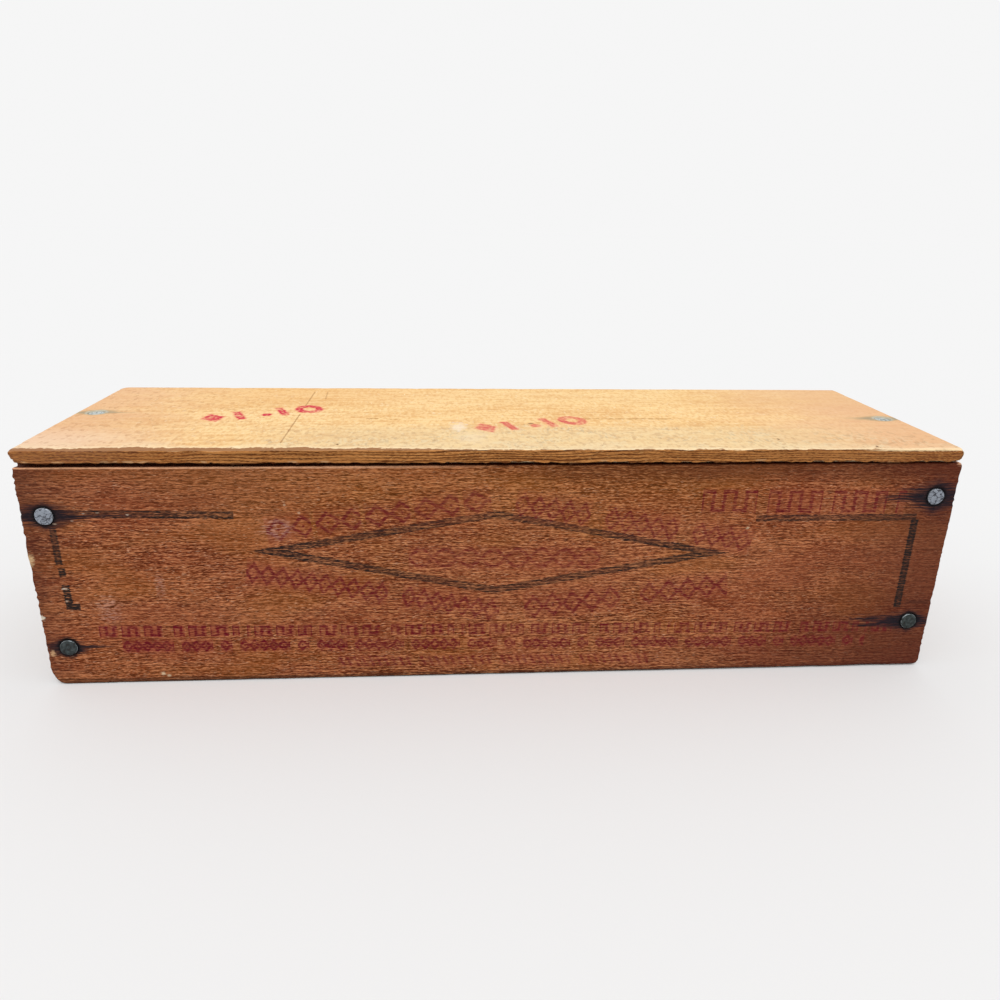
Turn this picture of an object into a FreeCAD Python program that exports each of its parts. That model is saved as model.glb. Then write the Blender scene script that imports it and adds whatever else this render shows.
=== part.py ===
import FreeCAD, Part

import math
import os

# A small nailed wooden cheese box of thin sawn boards, with a lid that lifts off.
# Millimetres. X runs along the box, the printed front faces -Y, and +Z is up.
# The origin is the centre of the footprint, on the surface that the box stands on.

# Driving dimensions of the boards
box_length = 228.6
body_depth = 68.0
panel_height = 57.8
panel_thickness = 3.2
bottom_thickness = 3.2
end_thickness = 11.0
lid_thickness = 3.3
lid_overhang = 0.9
lid_end_setback = 0.2
lid_gap = 0.9
bottom_fit = 0.15

# Wear: the radius of the sawn arrises, of the boards' corners and of the two battered ones
arris_radius = 0.3
corner_radius = 0.8
battered_corner_radius = 2.8
chipped_corner_radius = 1.5

# The box nails: flat head, plain shank and a tapered point, driven with their heads proud or sunk
nail_length = 19.0
shank_diameter = 1.6
head_diameter = 4.4
head_thickness = 0.7
head_rim_radius = 0.25
point_length = 2.4
point_tip_diameter = 0.4
head_proud = 0.35
head_sunk = 0.15

# Clearances: the wood's grip on a nail, the lid nails' worn holes, and the room past their points
nail_grip = 0.02
worn_hole_clearance = 0.06
point_room = 0.6

# Nail places: heights from the panels' edges, and places on the lid and the bottom
left_upper_nail_drop = 12.1
left_lower_nail_rise = 10.6
right_upper_nail_drop = 8.5
right_lower_nail_rise = 13.9
left_lid_nail_y = 2.2
right_lid_nail_y = -3.7
bottom_nail_y = 11.0

# Sizes that follow from the driving dimensions
half_length = box_length / 2
half_depth = body_depth / 2
inner_half_depth = half_depth - panel_thickness
end_board_x = half_length - end_thickness / 2
end_board_top = panel_height + lid_gap
lid_top = end_board_top + lid_thickness
shank_radius = shank_diameter / 2
head_radius = head_diameter / 2

UP = FreeCAD.Vector(0, 0, 1)
DOWN = FreeCAD.Vector(0, 0, -1)
BACKWARDS = FreeCAD.Vector(0, 1, 0)
FORWARDS = FreeCAD.Vector(0, -1, 0)
SIDES = {"left": -1, "right": 1}


def rounded_outline(width, height, radii):
    """Face of a rectangle in XY, centred on X and standing on the X axis, with an arc at each corner.

    radii are those of the low left, low right, high right and high left corner."""
    corners = [(-width / 2, 0), (width / 2, 0), (width / 2, height), (-width / 2, height)]
    ways = [(1, 1), (-1, 1), (-1, -1), (1, -1)]
    starts, edges = [], []
    for number, ((x, y), (to_x, to_y), radius) in enumerate(zip(corners, ways, radii)):
        along_x = FreeCAD.Vector(x + to_x * radius, y, 0)
        along_y = FreeCAD.Vector(x, y + to_y * radius, 0)
        reach = radius * (1 - math.sqrt(0.5))
        middle = FreeCAD.Vector(x + to_x * reach, y + to_y * reach, 0)
        enter, leave = (along_y, along_x) if number % 2 == 0 else (along_x, along_y)
        starts.append((enter, leave))
        edges.append(Part.Arc(enter, middle, leave).toShape())
    for number in range(4):
        leave = starts[number][1]
        enter = starts[(number + 1) % 4][0]
        edges.append(Part.LineSegment(leave, enter).toShape())
    return Part.Face(Part.Wire(Part.__sortEdges__(edges)))


def sawn_board(width, height, thickness, radii):
    """Board with its outline in XY and its thickness along +Z, the arrises of both faces broken."""
    board = rounded_outline(width, height, radii).extrude(FreeCAD.Vector(0, 0, thickness))
    faces = (0, thickness)
    rims = [
        edge
        for edge in board.Edges
        if any(all(abs(v.Z - face) < 1e-6 for v in edge.Vertexes) for face in faces)
    ]
    broken = min(arris_radius, 0.9 * min(radii), thickness / 4)
    return board.makeFillet(broken, rims)


def upright(board, place):
    """A board turned up from XY, so that its outline stands in XZ and its back face is at place."""
    turned = board.copy()
    turned.rotate(FreeCAD.Vector(0, 0, 0), FreeCAD.Vector(1, 0, 0), 90)
    turned.translate(place)
    return turned


def turned_nail(grow=0.0, room=0.0, head_height=head_thickness, rim=head_rim_radius):
    """Nail on the Z axis, its head's underside at z = 0 and its point down, made by turning its profile.

    grow widens it all round, and room lengthens it past the point, for the hole that it is driven in."""
    head = head_radius + grow
    shank = shank_radius + grow
    tip = point_tip_diameter / 2 + grow
    shoulder = -(nail_length - point_length) - room
    end = -nail_length - room
    bend = rim * (1 - math.sqrt(0.5))
    outline = [
        FreeCAD.Vector(0, 0, head_height),
        FreeCAD.Vector(head - rim, 0, head_height),
        FreeCAD.Vector(head, 0, head_height - rim),
        FreeCAD.Vector(head, 0, 0),
        FreeCAD.Vector(shank, 0, 0),
        FreeCAD.Vector(shank, 0, shoulder),
        FreeCAD.Vector(tip, 0, end),
        FreeCAD.Vector(0, 0, end),
    ]
    edges = []
    for number, start in enumerate(outline):
        stop = outline[(number + 1) % len(outline)]
        if number == 1:
            if rim > 0:
                middle = FreeCAD.Vector(head - bend, 0, head_height - bend)
                edges.append(Part.Arc(start, middle, stop).toShape())
        else:
            edges.append(Part.LineSegment(start, stop).toShape())
    profile = Part.Face(Part.Wire(edges))
    return profile.revolve(FreeCAD.Vector(0, 0, 0), UP, 360)


def driven(shape, seat, direction):
    """A nail or its hole, its head's underside at seat and its point along direction."""
    placed = shape.copy()
    placed.Placement = FreeCAD.Placement(seat, FreeCAD.Rotation(DOWN, direction))
    return placed


# Nail seats: the point under each head and the way that the nail is driven
def side_nail_seats(side, face):
    """The two nails through a panel into one end board; face is -1 at the front and 1 at the back."""
    upper_drop = left_upper_nail_drop if side == "left" else right_upper_nail_drop
    lower_rise = left_lower_nail_rise if side == "left" else right_lower_nail_rise
    y = face * (half_depth - head_thickness + head_proud)
    way = BACKWARDS if face < 0 else FORWARDS
    heights = (lower_rise, panel_height - upper_drop)
    return [(FreeCAD.Vector(SIDES[side] * end_board_x, y, z), way) for z in heights]


def bottom_nail_seats(side):
    """The two nails up through the bottom board into one end board."""
    z = head_sunk + head_thickness
    places = (-bottom_nail_y, bottom_nail_y)
    return [(FreeCAD.Vector(SIDES[side] * end_board_x, y, z), UP) for y in places]


def lid_nail_seats(side):
    """The one nail down through the lid into one end board."""
    y = left_lid_nail_y if side == "left" else right_lid_nail_y
    return [(FreeCAD.Vector(SIDES[side] * end_board_x, y, lid_top - head_sunk - head_thickness), DOWN)]


def nails(seats):
    """The nails of one joint, as a group of separate solids."""
    solids = [driven(turned_nail(), seat, way) for seat, way in seats]
    return solids[0] if len(solids) == 1 else Part.makeCompound(solids)


def with_nail_holes(board, seats, clearance=nail_grip, room=nail_grip):
    """The board with a hole for each nail, its head's crushed seat open to the outside."""
    tall_head = head_thickness + head_sunk + head_diameter
    for seat, way in seats:
        hole = turned_nail(grow=clearance, room=room, head_height=tall_head, rim=0)
        board = board.cut(driven(hole, seat, way))
    return board


# Front and back panels: thin boards over the edges of the end boards, standing on their lower edges
def panel(face):
    """The front panel for face -1 and the back panel for face 1."""
    radii = [battered_corner_radius, chipped_corner_radius, corner_radius, corner_radius]
    if face > 0:
        radii = [corner_radius] * 4
    board = sawn_board(box_length, panel_height, panel_thickness, radii)
    board = upright(board, FreeCAD.Vector(0, half_depth if face > 0 else -inner_half_depth, 0))
    seats = [seat for side in SIDES for seat in side_nail_seats(side, face)]
    return with_nail_holes(board, seats)


# Bottom board: between the panels and under the end boards
def bottom_board():
    """The bottom board, its battered end under the front panel's battered corner."""
    depth = 2 * (inner_half_depth - bottom_fit)
    worn = min(battered_corner_radius, 0.8 * bottom_thickness)
    broken = min(chipped_corner_radius, 0.4 * bottom_thickness)
    slight = min(arris_radius, bottom_thickness / 4)
    section = rounded_outline(box_length, bottom_thickness, [worn, broken, slight, slight])
    board = section.extrude(FreeCAD.Vector(0, 0, depth))
    board = upright(board, FreeCAD.Vector(0, depth / 2, 0))
    seats = [seat for side in SIDES for seat in bottom_nail_seats(side)]
    return with_nail_holes(board, seats)


# End boards: the two thick blocks that every nail holds in
def end_board(side):
    """One end board, from the bottom board to the lid, between the two panels."""
    height = end_board_top - bottom_thickness
    section = rounded_outline(end_thickness, height, [arris_radius] * 4)
    board = section.extrude(FreeCAD.Vector(0, 0, 2 * inner_half_depth))
    place = FreeCAD.Vector(SIDES[side] * end_board_x, inner_half_depth, bottom_thickness)
    board = upright(board, place)
    fixed = side_nail_seats(side, -1) + side_nail_seats(side, 1) + bottom_nail_seats(side)
    board = with_nail_holes(board, fixed)
    return with_nail_holes(board, lid_nail_seats(side), worn_hole_clearance, point_room)


# Lid: one thin board that covers the whole box and rests on the end boards
def lid():
    """The lid, a little over the panels at the front and the back, and a little short of their ends."""
    depth = body_depth + 2 * lid_overhang
    length = box_length - 2 * lid_end_setback
    board = sawn_board(length, depth, lid_thickness, [corner_radius] * 4)
    board.translate(FreeCAD.Vector(0, -depth / 2, end_board_top))
    seats = [seat for side in SIDES for seat in lid_nail_seats(side)]
    return with_nail_holes(board, seats)


nodes = {
    "front_panel": panel(-1),
    "back_panel": panel(1),
    "bottom_board": bottom_board(),
    "lid": lid(),
}
for side in SIDES:
    nodes[side + "_end_board"] = end_board(side)
    nodes["front_" + side + "_nails"] = nails(side_nail_seats(side, -1))
    nodes["back_" + side + "_nails"] = nails(side_nail_seats(side, 1))
    nodes["bottom_" + side + "_nails"] = nails(bottom_nail_seats(side))
    nodes["lid_" + side + "_nail"] = nails(lid_nail_seats(side))

os.makedirs("parts", exist_ok=True)
for name, shape in nodes.items():
    shape.exportStep(os.path.join("parts", name + ".step"))
    print(name, len(shape.Solids), "solids", round(shape.Volume, 1), "mm3", "valid", shape.isValid())
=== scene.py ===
import math

import bpy
import numpy as np
from mathutils import Matrix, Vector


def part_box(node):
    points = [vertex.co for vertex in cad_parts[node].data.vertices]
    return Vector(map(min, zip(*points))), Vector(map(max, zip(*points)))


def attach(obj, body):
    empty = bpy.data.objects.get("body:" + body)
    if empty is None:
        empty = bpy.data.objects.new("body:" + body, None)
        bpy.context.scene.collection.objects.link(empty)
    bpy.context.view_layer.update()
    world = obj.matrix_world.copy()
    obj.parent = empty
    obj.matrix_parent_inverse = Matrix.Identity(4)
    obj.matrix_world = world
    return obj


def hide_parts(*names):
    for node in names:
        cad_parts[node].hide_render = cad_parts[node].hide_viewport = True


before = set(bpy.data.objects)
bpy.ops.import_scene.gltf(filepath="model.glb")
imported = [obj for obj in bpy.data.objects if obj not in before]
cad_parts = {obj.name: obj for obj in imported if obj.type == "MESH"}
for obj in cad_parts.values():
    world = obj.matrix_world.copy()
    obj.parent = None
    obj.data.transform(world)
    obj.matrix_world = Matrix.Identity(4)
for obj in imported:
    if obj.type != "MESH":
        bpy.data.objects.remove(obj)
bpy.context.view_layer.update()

# End boards: two thick blocks of softwood, sawn across, with their grain running from front to back.
# Every nail of the box holds in them: two from each panel, two from the bottom and one from the lid.
# Only their outer faces show while the lid is on; lifted, it leaves an empty nail hole in each top edge.
MM = 0.001
HEAD_THICKNESS = 0.7 * MM
SEAT_ROOM = 0.06 * MM
HOLE_RADIUS = 0.86 * MM
HOLE_ROOM = 0.5 * MM
NOISE_TABLE = (61, 67)


def value_noise(u, v, seed):
    """Smooth random field over the arrays u and v, from -1 to 1.

    A random number stands at each pair of whole numbers, and the four nearest are blended by 3t^2 - 2t^3."""
    columns, rows = NOISE_TABLE
    table = np.random.default_rng(seed).uniform(-1, 1, NOISE_TABLE)
    column, row = np.floor(u).astype(int), np.floor(v).astype(int)
    s, t = u - column, v - row
    s, t = s * s * (3 - 2 * s), t * t * (3 - 2 * t)
    near, far = column % columns, (column + 1) % columns
    below, above = row % rows, (row + 1) % rows
    first = table[near, below] * (1 - s) + table[far, below] * s
    second = table[near, above] * (1 - s) + table[far, above] * s
    return first * (1 - t) + second * t


def layered_noise(u, v, seed, layers=3):
    """Sum of value noises, each twice as fine and half as strong as the one before, from -1 to 1."""
    total = sum(value_noise(u * 2**n, v * 2**n, seed + n) / 2**n for n in range(layers))
    return total / (2 - 0.5 ** (layers - 1))


# Distances of the closer lattice lines from each arris, of a seat's rings over its radius, and of its wall
ARRIS_LINES = np.array([0, 0.1, 0.22, 0.36, 0.54, 0.78, 1.1]) * MM
SEAT_RINGS = np.array([0.5, 0.85, 1, 1.15, 1.4, 1.7])
SEAT_WALL = 0.025 * MM


def ruled_lines(low, high, step, marks):
    """Places of the lattice lines from low to high: even steps that close up at both arrises.

    marks are lists of closer lines around the nail seats, which take the place of the even ones there."""
    edge = ARRIS_LINES[ARRIS_LINES < 0.4 * (high - low)]
    start, stop = low + edge[-1], high - edge[-1]
    inside = np.linspace(start, stop, max(2, round((stop - start) / step) + 1))
    lines = np.unique(np.concatenate([low + edge, inside, high - edge]).round(7))
    for mark in marks:
        lines = lines[(lines < min(mark)) | (lines > max(mark))]
    return np.unique(np.concatenate([lines, *marks]).round(7))


def seat_lines(centre, radius):
    """Lattice lines around a round seat: its rim, its wall just inside, and a few rings on either side."""
    rings = np.append(SEAT_RINGS * radius, radius - SEAT_WALL)
    return [centre, *(centre - rings), *(centre + rings)]


def nail_places(node, axis):
    """Centres of the one or two nail heads of a CAD node, in the two axes across them, and the heads' radius.

    The node's box is one head wide on its shorter side across, and a second head lies at its other end."""
    low, high = (np.array(corner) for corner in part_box(node))
    sides = [a for a in range(3) if a != axis]
    radius = min(high[sides] - low[sides]) / 2
    first, last = low[sides] + radius, high[sides] - radius
    return ([first] if np.allclose(first, last, atol=radius) else [first, last]), radius


def head_seats(nodes, axis, side, face):
    """Seats in a board's face for the nail heads of some CAD nodes, each just deep enough for its head."""
    seats = []
    for node in nodes:
        centres, radius = nail_places(node, axis)
        head_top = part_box(node)[side > 0][axis]
        depth = side * (face - head_top) + HEAD_THICKNESS + SEAT_ROOM
        seats += [(axis, side, centre, radius + SEAT_ROOM, depth) for centre in centres]
    return seats


def block_lattice(lines):
    """Surface points and outward quads of a block ruled by three lists of lattice lines.

    Each point is one lattice corner on the block's six sides, numbered once, so the sides share edges."""
    counts = [len(places) for places in lines]
    index = np.indices(counts)
    last = np.array(counts).reshape(3, 1, 1, 1) - 1
    outside = ((index == 0) | (index == last)).any(axis=0)
    number = np.full(counts, -1)
    number[outside] = np.arange(outside.sum())
    points = np.stack([lines[axis][index[axis][outside]] for axis in range(3)], axis=1)
    sides = [
        (number[-1, :, :], False),
        (number[0, :, :], True),
        (number[:, 0, :], False),
        (number[:, -1, :], True),
        (number[:, :, -1], False),
        (number[:, :, 0], True),
    ]
    quads = []
    for side, turned in sides:
        corners = [side[:-1, :-1], side[1:, :-1], side[1:, 1:], side[:-1, 1:]]
        quads.append(np.stack(corners[::-1] if turned else corners, axis=-1).reshape(-1, 4))
    return points, np.concatenate(quads)


def round_arrises(points, low, high, radius):
    """Points of a block with its arrises rounded, and how far each was moved.

    A point is drawn to the distance radius from the nearest point of the block shrunk by radius."""
    core = np.clip(points, low + radius[:, None], high - radius[:, None])
    out = points - core
    length = np.linalg.norm(out, axis=1, keepdims=True)
    rounded = core + out * radius[:, None] / np.maximum(length, 1e-9)
    return rounded, np.linalg.norm(rounded - points, axis=1)


def round_corner(points, axes, corner, reach):
    """Points with one corner of the board's outline rounded to a quarter ellipse, and how far each was moved.

    Inside the corner's rectangle of size reach, squares about its inner point become ellipses."""
    first, second = axes
    inner = corner - reach
    u = (points[:, first] - inner[0]) / reach[0]
    v = (points[:, second] - inner[1]) / reach[1]
    inside = (u > 0) & (v > 0)
    shrink = np.where(inside, np.maximum(u, v) / np.maximum(np.hypot(u, v), 1e-9), 1)
    moved = points.copy()
    moved[:, first] = np.where(inside, inner[0] + u * shrink * reach[0], points[:, first])
    moved[:, second] = np.where(inside, inner[1] + v * shrink * reach[1], points[:, second])
    return moved, np.linalg.norm(moved - points, axis=1)


def press_seat(points, face, seat):
    """Points with a nail's round seat or hole sunk into the outer face.

    Square rings of the lattice become round ones near the centre, those inside the rim go down by the seat's
    depth, and the wood round the rim is drawn down a little, less and less outwards."""
    rim_reach = SEAT_RINGS[-1]
    axis, side, centre, radius, depth = seat
    first, second = [a for a in range(3) if a != axis]
    u, v = points[:, first] - centre[0], points[:, second] - centre[1]
    ring, length = np.maximum(np.abs(u), np.abs(v)), np.hypot(u, v)
    fade = np.clip((rim_reach * radius - ring) / ((rim_reach - 1) * radius), 0, 1) * face
    turn = 1 + fade * (ring / np.maximum(length, 1e-9) - 1)
    points[:, first] = centre[0] + u * turn
    points[:, second] = centre[1] + v * turn
    inside = face & (ring < radius - 0.01 * MM)
    drawn = 0.05 * radius * np.exp(-np.clip(ring / radius - 1, 0, None) * 6) * face
    points[:, axis] -= side * np.where(inside, depth, drawn)
    return points


def mesh_piece(name, points, faces, attributes):
    """New smooth mesh object from whole arrays of points and faces, with numbers carried at its points."""
    mesh = bpy.data.meshes.new(name)
    mesh.from_pydata(points.tolist(), [], faces)
    mesh.polygons.foreach_set("use_smooth", np.ones(len(faces), bool))
    for key, values in attributes.items():
        layer = mesh.attributes.new(key, "FLOAT", "POINT")
        layer.data.foreach_set("value", values.astype(np.float32))
    mesh.validate()
    piece = bpy.data.objects.new(name, mesh)
    bpy.context.scene.collection.objects.link(piece)
    return piece


def round_nose(points, axes, low, high, nose):
    """Points with both ends of the board rounded over their thickness, and how far each was moved.

    nose is, for the low and the high end and in each for the low and the high face, how far the rounding runs
    along the grain and how far it goes into the thickness; each is a quarter ellipse."""
    grain, thick = axes
    total = 0
    for way, faces in zip((-1, 1), nose):
        for side, (run, rise) in zip((-1, 1), faces):
            at = np.array([(low, high)[way > 0][grain], (low, high)[side > 0][thick]])
            points, shift = round_corner(points, axes, at, np.array([way * run, side * rise]) * MM)
            total = total + shift
    return points, total


# Millimetres from an end, an edge and an arris within which a board is out of square, torn or frayed, the
# pitch of the saw's teeth, and the wear that shows fully bare wood
END_BAND = 1.6
EDGE_BAND = 4
FRAY_BAND = 0.6
TOOTH_PITCH = 2.4
FULL_WEAR = 0.3


def pulled_in(points, sharp, low, high, axes, pulls):
    """Points of a board that is out of square: each end and each edge is drawn in, by a straight slant.

    pulls are the low end, the high end, the low edge and the high edge, each with the millimetres at its low
    and at its high corner. The slant fades out within a narrow band along the end or edge."""
    for axis, other, fade, pair in ((*axes, END_BAND, pulls[:2]), (*axes[::-1], EDGE_BAND, pulls[2:])):
        share = (sharp[:, other] - low[other]) / (high[other] - low[other])
        for side, (first, second) in zip((-1, 1), pair):
            beyond = np.abs(sharp[:, axis] - (low, high)[side > 0][axis]) / MM
            near = np.clip(1 - beyond / fade, 0, 1)
            points[:, axis] -= side * near * (first * (1 - share) + second * share) * MM
    return points


def sawn_board(name, body, node, grain, thick, steps, wear, ends, seed, inside=0, seats=(), corners=(),
               pulls=((0, 0),) * 4, nose=None, chips=(), fringe=0):
    """One board, standing for its CAD node: a lattice block with worn arrises, torn ends and sawn faces.

    grain and thick are the axes along the fibres and through the thickness, steps the lattice's steps along,
    across and through, and wear the arris radius and how much more it is in places. ends is how deep the saw
    tore the low and the high end, in bites as wide as the blade's teeth. inside is the side that faces into
    the box. A corner is (sides, reach) in the outline's axes. pulls and nose are what pulled_in and
    round_nose take. A chip is (edge side, face side, place, width, depth) on a long arris. fringe is how far
    the low face's arrises fray, in millimetres, and the one at the high edge frays less than half as much."""
    low, high = (np.array(corner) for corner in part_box(node))
    across = 3 - grain - thick
    marks = [[], [], []]
    for axis, _, centre, radius, _ in seats:
        for other, place in zip([a for a in range(3) if a != axis], centre):
            marks[other].append(seat_lines(place, radius))
    step = {grain: steps[0], across: steps[1], thick: steps[2]}
    sharp, quads = block_lattice([ruled_lines(low[a], high[a], step[a] * MM, marks[a]) for a in range(3)])
    g, a, t = sharp[:, grain] / MM, sharp[:, across] / MM, sharp[:, thick] / MM
    centre, half = (low + high) / 2, (high - low) / 2
    offset = (sharp - centre) / half
    side = np.sign(offset)

    # Arrises, chips and the outline's corners
    radius = wear[0] * (1 + 0.35 * layered_noise(g / 7, a / 5 + t, seed))
    radius += wear[1] * np.clip(layered_noise(g / 4 + 9, a / 2.5 + 2 * t, seed + 5) - 0.1, 0, 1)
    for edge_side, face_side, place, width, depth in chips:
        beside = (offset[:, across] * edge_side > 0.8) & (offset[:, thick] * face_side > -0.2)
        radius += beside * depth * np.exp(-(((g - place) / width) ** 2))
    radius = np.minimum(radius * MM, 0.42 * (high - low).min())
    points, moved = round_arrises(sharp, low, high, radius)
    if nose:
        points, shift = round_nose(points, (grain, thick), low, high, nose)
        moved += 0.12 * shift
    outline = [axis for axis in range(3) if axis != thick]
    for sides, reach in corners:
        at = np.array([(low, high)[way > 0][axis] for way, axis in zip(sides, outline)])
        points, shift = round_corner(points, outline, at, np.array(reach) * MM * np.array(sides))
        moved += 0.12 * shift

    # Torn ends: a sine's humps for the teeth, shifted and deepened at random, and a slower waver
    way = side[:, grain]
    torn = np.where(way > 0, ends[1], ends[0])
    tear = np.clip(0.5 + 0.9 * layered_noise(a / 4, t / 6 + way, seed + 11), 0.08, 1.3) * torn
    bite = np.sin(np.pi * (a / TOOTH_PITCH + 1.5 * value_noise(a / 3.1, t / 5 + 3 * way, seed + 3)))
    bite = np.abs(bite) ** 0.8
    waver = 0.4 * np.clip(layered_noise(a / 9, t / 9 + 5 * way, seed + 37), 0, 1) * torn
    near_end = np.clip(1 - (1 - np.abs(offset[:, grain])) * half[grain] / (END_BAND * MM), 0, 1)
    points[:, grain] -= way * near_end * (tear * bite + waver) * MM

    # Faces and edges: shallow furrows along the grain, and frayed fibres under the low face's arrises
    planed = 0.05 + 0.05 * layered_noise(g / 11, a / 1.1, seed + 17)
    points[:, thick] -= side[:, thick] * np.abs(offset[:, thick]) ** 6 * planed * MM
    sawn = 0.07 + 0.07 * layered_noise(g / 6, t / 0.8, seed + 23)
    points[:, across] -= side[:, across] * np.abs(offset[:, across]) ** 6 * sawn * MM
    frayed = np.clip(1 - (1 - np.abs(offset[:, across])) * half[across] / (FRAY_BAND * MM), 0, 1)
    frayed *= np.clip(-offset[:, thick], 0, 1) ** 4 * fringe * MM
    frayed *= layered_noise(g / 1.3, side[:, across], seed + 29)
    frayed *= np.where(offset[:, across] < 0, 1, 0.4)
    points[:, thick] += frayed
    moved += np.clip(-frayed, 0, None) * 1.5

    points = pulled_in(points, sharp, low, high, (grain, across), pulls)
    for seat in seats:
        face = np.isclose(sharp[:, seat[0]], (low, high)[seat[1] > 0][seat[0]])
        points = press_seat(points, face, seat)

    margin = (half - np.abs(sharp - centre))[:, [grain, across]].min(axis=1)
    inner = np.isclose(offset[:, thick] * inside, 1) & (margin > 1.5 * MM)
    # The torn ends' crests are painted pale through the wear: bare torn fibres, and partly a painted
    # highlight where they catch the light.
    attributes = {
        "wear": np.clip(moved / (FULL_WEAR * MM) + 0.3 * near_end * tear * (1 - bite), 0, 2),
        "end_grain": np.isclose(np.abs(offset[:, grain]), 1).astype(float),
        "edge": np.isclose(np.abs(offset[:, across]), 1).astype(float),
        "inner": inner.astype(float),
    }
    piece = mesh_piece(name, points, quads.tolist(), attributes)
    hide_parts(node)
    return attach(piece, body)


class Field:
    """A number that varies over a surface, held as a shader socket, so formulas read as they are said."""

    def __init__(self, socket):
        self.socket = socket
        self.tree = socket.id_data

    def work(self, operation, *others):
        """The field after one Math node, whose other inputs are fields or plain numbers."""
        made = self.tree.nodes.new("ShaderNodeMath")
        made.operation = operation
        for place, value in zip(made.inputs, (self, *others)):
            if isinstance(value, Field):
                self.tree.links.new(value.socket, place)
            else:
                place.default_value = value
        return Field(made.outputs[0])

    def __add__(self, other):
        return self.work("ADD", other)

    def __sub__(self, other):
        return self.work("SUBTRACT", other)

    def __rsub__(self, other):
        return self.work("MULTIPLY_ADD", -1, other)

    def __mul__(self, other):
        return self.work("MULTIPLY", other)

    def __truediv__(self, other):
        return self.work("DIVIDE", other)

    def __abs__(self):
        return self.work("ABSOLUTE")

    __radd__, __rmul__ = __add__, __mul__

    def root(self):
        return self.work("SQRT")

    def wave(self, period):
        """Sine of the field, from -1 to 1, once over each period."""
        return (self * (math.tau / period)).work("SINE")

    def least(self, other):
        return self.work("MINIMUM", other)

    def most(self, other):
        return self.work("MAXIMUM", other)

    def repeat(self, period):
        """Distance into the current period, from 0 to period."""
        return self.work("FLOORED_MODULO", period)

    def rise(self, low, high, to=1.0):
        """0 up to low, to from high on, and a smooth step in between; high may lie below low."""
        made = self.tree.nodes.new("ShaderNodeMapRange")
        made.interpolation_type = "SMOOTHSTEP"
        self.tree.links.new(self.socket, made.inputs["Value"])
        start, end = (0, to) if low < high else (to, 0)
        made.inputs["From Min"].default_value = min(low, high)
        made.inputs["From Max"].default_value = max(low, high)
        made.inputs["To Min"].default_value = start
        made.inputs["To Max"].default_value = end
        return Field(made.outputs[0])

    def within(self, low, high, soft=0.1):
        """1 between low and high, 0 outside, and a smooth step of width soft at both."""
        return self.rise(low - soft / 2, low + soft / 2) * self.rise(high + soft / 2, high - soft / 2)


def vector_work(tree, operation, *values):
    """Socket of one Vector Math node over sockets or plain triples."""
    made = tree.nodes.new("ShaderNodeVectorMath")
    made.operation = operation
    for place, value in zip(made.inputs, values):
        if isinstance(value, bpy.types.NodeSocket):
            tree.links.new(value, place)
        else:
            place.default_value = value
    return made.outputs[0]


def attribute(tree, name):
    """A number that the mesh carries at each of its points, as a field."""
    made = tree.nodes.new("ShaderNodeAttribute")
    made.attribute_name = name
    return Field(made.outputs["Fac"])


def cloud(place, size, detail=2.0, roughness=0.5, shift=0.0):
    """Random field around 0.5 over a place socket, with lumps of the given size in millimetres on x, y, z."""
    tree = place.id_data
    made = tree.nodes.new("ShaderNodeTexNoise")
    made.inputs["Scale"].default_value = 1
    made.inputs["Detail"].default_value = detail
    made.inputs["Roughness"].default_value = roughness
    scaled = vector_work(tree, "MULTIPLY_ADD", place, [1 / length for length in size], [shift] * 3)
    tree.links.new(scaled, made.inputs["Vector"])
    return Field(made.outputs["Fac"])


def paint(red, green, blue):
    """A colour written as it looks, 0 to 255 a channel, turned into the linear light that shaders take."""
    channels = [c / 255 for c in (red, green, blue)]
    return [c / 12.92 if c <= 0.04045 else ((c + 0.055) / 1.055) ** 2.4 for c in channels] + [1]


def lay(base, over, share):
    """Colour socket of base with a share, a field, of another colour laid over it."""
    made = share.tree.nodes.new("ShaderNodeMix")
    made.data_type = "RGBA"
    for place, value in ((made.inputs[6], base), (made.inputs[7], over)):
        if isinstance(value, bpy.types.NodeSocket):
            share.tree.links.new(value, place)
        else:
            place.default_value = value
    share.tree.links.new(share.socket, made.inputs[0])
    return made.outputs[2]


def coat(base, layers):
    """Colour socket of base with layers over it, in turn: each is a socket or a tone, and its share."""
    for over, share in layers:
        base = lay(base, over if isinstance(over, bpy.types.NodeSocket) else paint(*over), share)
    return base


def new_material(name, roughness, specular, metallic=0.0):
    """Material with its shader's even values set on the shader's own sockets; returns it, tree and shader."""
    material = bpy.data.materials.new(name)
    material.use_nodes = True
    tree = material.node_tree
    shader = tree.nodes["Principled BSDF"]
    shader.inputs["Roughness"].default_value = roughness
    shader.inputs["Specular IOR Level"].default_value = specular
    shader.inputs["Metallic"].default_value = metallic
    return material, tree, shader


def bump(tree, shader, height, depth):
    """The height field, from 0 to 1, as fine relief on the shader, depth metres deep."""
    made = tree.nodes.new("ShaderNodeBump")
    made.inputs["Strength"].default_value = 1
    made.inputs["Distance"].default_value = depth
    tree.links.new(height.socket, made.inputs["Height"])
    tree.links.new(made.outputs[0], shader.inputs["Normal"])


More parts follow.
